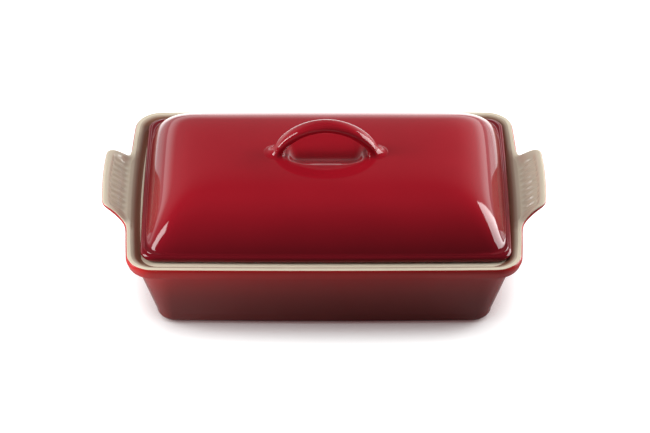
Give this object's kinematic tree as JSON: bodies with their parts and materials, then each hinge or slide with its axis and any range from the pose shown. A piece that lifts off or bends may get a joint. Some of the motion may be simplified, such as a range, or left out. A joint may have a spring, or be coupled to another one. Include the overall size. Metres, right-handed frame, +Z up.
{
  "type": "covered baking dish",
  "caption": "Rectangular glazed stoneware baking dish with a flanged rim and fluted tab handles, and a crowned lid with a loop handle over a finger hollow.",
  "frame": {"origin": "on the resting plane, under the middle of the dish", "axes": "+X from handle to handle, +Y away from the front long side, +Z up"},
  "size_m": [0.373, 0.2308, 0.1396],
  "materials": {
    "dish_glaze": "glossy red glaze outside, cream glaze inside and on the rim",
    "lid_glaze": "glossy red glaze on top, cream glaze underneath"
  },
  "bodies": {
    "root": {"dish": "dish_glaze", "lid": "lid_glaze"}
  },
  "joints": []
}
